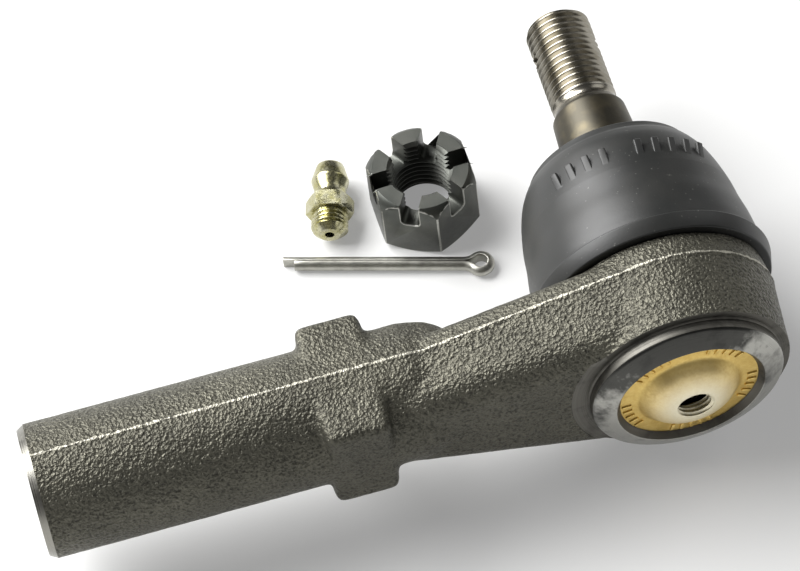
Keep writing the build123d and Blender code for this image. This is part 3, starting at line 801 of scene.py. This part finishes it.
class TIEROD_OT_nut(bpy.types.Operator):
    """Make the castle nut: hexagon, turned ends, tapped hole and six slots"""

    bl_idname = "tierod.nut"
    bl_label = "Castle nut"

    def execute(self, context):
        settings = context.scene.tie_rod_end.stud
        phosphate = phosphated_steel()
        worn = turned_steel("steel, phosphate worn off", "#a8a8a2", 0.42, 0.5, "Z")
        low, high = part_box("castle_nut")
        centre = ((low.x + high.x) / 2, (low.y + high.y) / 2, low.z)
        flats, height, slot_width, slot_depth = 21.0, (high.z - low.z) / MM, 4.0, 6.2
        corner = flats / math.sqrt(3)
        bpy.ops.mesh.primitive_cylinder_add(vertices=6, radius=corner * MM, depth=height * MM,
                                            location=(0, 0, height / 2 * MM))
        nut = settle(named("nut"), (0, 0, height / 2 * MM), (0, 0, math.radians(30)))
        crown = [(0, 0), (flats / 2 - 0.3, 0), (corner + 0.1, 1.35), (corner + 0.1, height - 3.1),
                 *arc((corner - 4.4, height - 3.6), 4.4, 20, 62, 5), (corner - 3.0, height), (0, height)]
        combine(nut, turned("crown", crown), "INTERSECT")
        for turn in (30, 90, 150):
            bpy.ops.mesh.primitive_cube_add(size=MM)
            mill = named("mill")
            mill.scale = (40, slot_width, 2 * slot_depth)
            bpy.ops.object.transform_apply(scale=True)
            modify(mill, "BEVEL", width=1.1 * MM, segments=5)
            settle(mill, (0, 0, height * MM), (0, 0, math.radians(turn)))
            combine(nut, mill)
        bore = turned("bore", [(0, -1), (7.3, -1), (7.3, 0), (6.19, 1.1), (6.19, height - 0.9),
                               (7.1, height), (7.1, height + 1), (0, height + 1)], steps=96)
        tap = thread_groove("tap", 6.19, settings.pitch / MM, -1.1, 12, inside=True)
        combine(nut, combine(bore, tap, "UNION"))
        coat(nut, phosphate, worn)
        # the outer edges are worn bright; what lies further in is hidden from the bevel, and stays sharp
        worn_from = 9.2 * MM
        with editing(nut, "VERT", lambda v: math.hypot(v.co.x, v.co.y) < worn_from):
            bpy.ops.mesh.hide(unselected=False)
            bpy.ops.mesh.select_mode(type="EDGE")
            bpy.ops.mesh.select_all(action="DESELECT")
            bpy.ops.mesh.edges_select_sharp(sharpness=math.radians(40))
            bpy.ops.mesh.bevel(offset=0.25 * MM, segments=2, affect="EDGES", material=1)
            bpy.ops.mesh.reveal()
        settle(nut, centre, (0, 0, math.radians(-88.4)))
        complete(nut, "nut", "phosphate", "castle_nut")
        return {"FINISHED"}


class TIEROD_OT_pin(bpy.types.Operator):
    """Bend the cotter pin from half-round wire"""

    bl_idname = "tierod.pin"
    bl_label = "Cotter pin"

    def execute(self, context):
        zinc = plated_steel("mild steel wire, bright zinc", "#b4b3ab", "#9b9a92", 0.38, patch=2.5,
                            grain=0.35)
        low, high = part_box("cotter_pin")
        radius, eye, bend, gap = 1.45, 1.5, 4.0, 0.05
        length, difference, turn = 45.0, 2.5, math.radians(-18)
        rise = gap + bend
        reach = math.sqrt((eye + bend) ** 2 - rise**2)
        angle = math.atan2(rise, reach)
        end = eye + radius - length
        bpy.ops.mesh.primitive_circle_add(vertices=28, radius=radius * MM, fill_type="NGON",
                                          location=(end * MM, gap * MM, 0), rotation=(0, math.pi / 2, 0))
        pin = named("pin")
        settle(pin)
        with editing(pin):
            bpy.ops.mesh.bisect(plane_co=(end * MM, gap * MM, 0), plane_no=(0, 1, 0), use_fill=False,
                                clear_inner=True)
            bpy.ops.mesh.select_all(action="SELECT")
            bpy.ops.mesh.delete(type="ONLY_FACE")
            bpy.ops.mesh.select_all(action="SELECT")
            self.lengthen(-reach - end, 14)
            for centre, sweep, steps in (((-reach, rise), math.pi / 2 - angle, 10),
                                         ((0, 0), 2 * angle - 2 * math.pi, 44),
                                         ((-reach, -rise), math.pi / 2 - angle, 10)):
                bpy.ops.mesh.spin(steps=steps, angle=-sweep, center=(centre[0] * MM, centre[1] * MM, 0),
                                  axis=(0, 0, 1))
            self.lengthen(end + difference + reach, 14)
        with editing(pin):
            bpy.ops.mesh.remove_doubles(threshold=0.002 * MM)
            bpy.ops.mesh.fill_holes(sides=40)
            bpy.ops.mesh.normals_make_consistent(inside=False)
        modify(pin, "BEVEL", width=0.14 * MM, segments=2, limit_method="ANGLE",
               angle_limit=math.radians(50))
        # the eye's outside touches the right and the front of the pin's box
        outside = (eye + radius) * MM
        settle(pin, (high.x - outside, low.y + outside, low.z + radius * MM), (0, 0, turn))
        coat(pin, zinc)
        complete(pin, "pin", "bright_zinc", "cotter_pin")
        return {"FINISHED"}

    def lengthen(self, distance, pieces):
        """Draw the wire on in a straight line, in several lengths."""
        step = (distance / pieces * MM, 0, 0)
        for _ in range(pieces):
            bpy.ops.mesh.extrude_region_move(TRANSFORM_OT_translate={"value": step})


class TIEROD_OT_fitting(bpy.types.Operator):
    """Turn the grease fitting, mill its hexagon, cut its thread and way, and wind its spring"""

    bl_idname = "tierod.fitting"
    bl_label = "Grease fitting"

    def execute(self, context):
        zinc = plated_steel("free-cutting steel, zinc, yellow passivated", "#bfbca2", "#a8a373", 0.28,
                            patch=2.0, grain=0.4)
        length, flats, heading = 17.5, 9.0, math.radians(74.9)
        outline = [(0, 0), (2.3, 0), (2.6, 0.25), (3.95, 1.2), (3.95, 4.4), (3.62, 4.6), (3.62, 5.05),
                   (4.6, 5.05), (5.3, 5.45), (5.3, 8.2), (4.6, 8.6), (4.2, 8.75),
                   *smooth_line([(4.1, 8.9), (3.55, 9.7), (3.42, 10.6), (3.45, 11.3), (3.75, 12.5),
                                 (4.0, 13.3)])[1:], (4.05, 13.6), (4.0, 13.85),
                   (3.1, 17.0), (2.95, 17.3), (2.7, 17.48), (0, length)]
        fitting = turned("fitting", outline, steps=96)
        # everything but the hexagon's flange lies inside the bar that is kept
        bpy.ops.mesh.primitive_cylinder_add(vertices=6, radius=flats / math.sqrt(3) * MM, depth=40 * MM)
        combine(fitting, settle(named("hexagon_bar"), rotation=(0, 0, math.radians(30))), "INTERSECT")
        combine(fitting, thread_groove("die", 3.95, 1.0, -0.4, 5, steps=40))
        way = [(0, -1), (1.0, -1), (1.0, 1.0), (1.6, 1.0), (1.6, 15.4), (1.0, 16.6), (1.0, 17.2),
               (1.5, 17.6), (1.5, 18.5), (0, 18.5)]
        combine(fitting, turned("way", way, steps=48))
        modify(fitting, "BEVEL", width=0.08 * MM, segments=2, limit_method="ANGLE",
               angle_limit=math.radians(50))
        low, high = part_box("grease_fitting_body")
        direction = Vector((math.cos(heading), math.sin(heading), 0))
        base = (low + high) / 2 - direction * length / 2 * MM
        # the last turn puts a flat of the hexagon down
        turn = direction.to_track_quat("Z", "X") @ Quaternion((0, 0, 1), math.radians(30))
        settle(fitting, base, turn.to_euler())
        coat(fitting, zinc)
        complete(fitting, "fitting", "bright_zinc", "grease_fitting_body")
        self.wind(base, direction, turn)
        return {"FINISHED"}

    def wind(self, base, direction, turn):
        """The spring behind the check ball."""
        low, pitch, coils = 1.25, 1.6, 7
        bpy.ops.mesh.primitive_circle_add(vertices=12, radius=0.2 * MM, location=(1.1 * MM, 0, low * MM),
                                          rotation=(math.pi / 2, 0, 0))
        spring = named("fitting_spring")
        settle(spring)
        settle(wound(spring, pitch, coils, steps=32), base, turn.to_euler())
        coat(spring, plated_steel("music wire, bright", "#9b9c9b", "#838483", 0.3, patch=2))
        complete(spring, None, "spring_steel", "grease_fitting_spring")
        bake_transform(spring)


class TIEROD_OT_inner_parts(bpy.types.Operator):
    """Give the bearings, springs, rings and check ball their own finishes"""

    bl_idname = "tierod.inner_parts"
    bl_label = "Inner parts"

    def execute(self, context):
        acetal = moulded_acetal()
        spring = plated_steel("spring steel, oil-blackened", "#6d7074", "#54565a", 0.35, patch=5)
        ball = turned_steel("bearing steel, lapped", "#d6d5d0", 0.12, 0.2, "Y")
        finishes = {
            "upper_bearing": acetal, "lower_bearing": acetal, "preload_spring": spring,
            "boot_retaining_ring": spring, "neck_ring": spring,
            "grease_fitting_ball": ball,
        }
        for node, finish in finishes.items():
            coat(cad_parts[node], finish)
        return {"FINISHED"}


class TIEROD_OT_stage(bpy.types.Operator):
    """Lay the floor and set the lights and the camera"""

    bl_idname = "tierod.stage"
    bl_label = "Stage"

    def execute(self, context):
        settings = context.scene.tie_rod_end.stage
        self.floor(settings)
        self.camera(context, settings)
        self.light("soft_box", (-0.554, 0.499, 0.665), (0.98, 0.74), settings.key_power)
        self.light("right_fill", (0.80, 0.30, 0.52), (0.5, 0.7), settings.key_power * 0.05)
        self.light("front_card", (0.12, -0.95, 0.28), (0.8, 0.4), settings.key_power * 0.036)
        world = bpy.data.worlds.new("studio")
        world.use_nodes = True
        tree = world.node_tree
        # the room shows as pale as the paper, and lights the part only dimly
        seen = add(tree, "LightPath").outputs["Is Camera Ray"]
        strength = add(tree, "MapRange", {"Value": seen, "To Min": settings.room, "To Max": 0.9})
        background = tree.nodes["Background"]
        background.inputs["Color"].default_value = (1, 1, 1, 1)
        tree.links.new(strength.outputs[0], background.inputs["Strength"])
        context.scene.world = world
        context.scene.view_settings.view_transform = "Standard"
        return {"FINISHED"}

    def floor(self, settings):
        """A plain white surface under the part."""
        gap = 0.05 * MM
        bpy.ops.mesh.primitive_plane_add(size=4, location=(0, 0, SURFACE - gap))
        floor = settle(named("floor"))
        made, tree, _ = material("paper, matt white, backlit")
        shader = tree.nodes["Principled BSDF"]
        shader.inputs["Base Color"].default_value = linear("#c4c4c3")
        shader.inputs["Roughness"].default_value = 0.9
        shader.inputs["Emission Color"].default_value = linear("#ffffff")
        shader.inputs["Emission Strength"].default_value = settings.paper_glow
        coat(floor, made)

    def light(self, name, place, size, power):
        """A rectangular soft light that faces the part."""
        bpy.ops.object.light_add(type="AREA", location=place)
        lamp = bpy.context.object
        lamp.name = name
        lamp.data.shape = "RECTANGLE"
        lamp.data.size, lamp.data.size_y = size
        lamp.data.energy = power
        lamp.rotation_euler = (-Vector(place)).to_track_quat("-Z", "Y").to_euler()

    def camera(self, context, settings):
        """A long lens above and in front of the part."""
        azimuth, elevation, roll = settings.azimuth, settings.elevation, settings.roll
        back = Vector((math.sin(azimuth) * math.cos(elevation), -math.cos(azimuth) * math.cos(elevation),
                       math.sin(elevation)))
        level = Vector((math.cos(azimuth), math.sin(azimuth), 0))
        rise = back.cross(level)
        right = math.cos(roll) * level + math.sin(roll) * rise
        up = -math.sin(roll) * level + math.cos(roll) * rise
        place = right * settings.offset_right + up * settings.offset_up + back * settings.distance
        bpy.ops.object.camera_add(location=place)
        camera = bpy.context.object
        camera.rotation_euler = Matrix((right, up, back)).transposed().to_euler()
        camera.data.sensor_width = 36
        camera.data.lens = settings.lens
        context.scene.camera = camera


class TIEROD_PT_panel(bpy.types.Panel):
    """Lists the operators of the tie rod end"""

    bl_label = "Tie Rod End"
    bl_idname = "TIEROD_PT_panel"
    bl_space_type = "VIEW_3D"
    bl_region_type = "UI"
    bl_category = "Tie Rod End"

    def draw(self, context):
        for operator in OPERATORS:
            self.layout.operator(operator.bl_idname)


OPERATORS = (TIEROD_OT_stage, TIEROD_OT_housing, TIEROD_OT_stud, TIEROD_OT_boot, TIEROD_OT_cover,
             TIEROD_OT_nut, TIEROD_OT_pin, TIEROD_OT_fitting, TIEROD_OT_inner_parts)
CLASSES = (ForgingSettings, BootSettings, StudSettings, StageSettings, TieRodEndSettings, *OPERATORS,
           TIEROD_PT_panel)


def register():
    """Register the classes and the scene's settings."""
    for cls in CLASSES:
        bpy.utils.register_class(cls)
    bpy.types.Scene.tie_rod_end = PointerProperty(type=TieRodEndSettings)


def unregister():
    """Undo register."""
    del bpy.types.Scene.tie_rod_end
    for cls in reversed(CLASSES):
        bpy.utils.unregister_class(cls)


def main():
    """Build everything."""
    register()
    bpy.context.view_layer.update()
    for operator in OPERATORS:
        group, name = operator.bl_idname.split(".")
        getattr(getattr(bpy.ops, group), name)()


if __name__ == "__main__":
    main()
